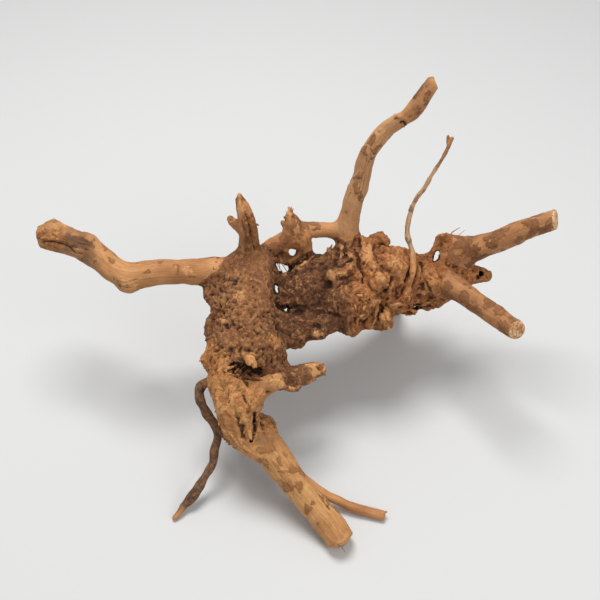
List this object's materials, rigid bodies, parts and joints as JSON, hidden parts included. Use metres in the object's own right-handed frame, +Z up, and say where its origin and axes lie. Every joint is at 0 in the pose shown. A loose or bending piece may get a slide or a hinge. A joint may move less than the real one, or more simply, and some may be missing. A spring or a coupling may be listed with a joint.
{
  "type": "spiderwood root",
  "caption": "Branching piece of spiderwood root with a lumpy crown, a sawn leg, thin roots and smooth branches, standing free as a tank or terrarium ornament.",
  "frame": {"origin": "bottom centre of the bounding box, on the ground the root stands on", "axes": "+X along the longest way across, from the left arm towards the sawn branches; -Y is the side of the stout leg; +Z up"},
  "size_m": [0.4606, 0.2999, 0.2927],
  "materials": {
    "wood": "dry bare root wood, satin on the branches and rough on the crown"
  },
  "bodies": {
    "root": {"spiderwood_root": "wood"}
  },
  "joints": []
}
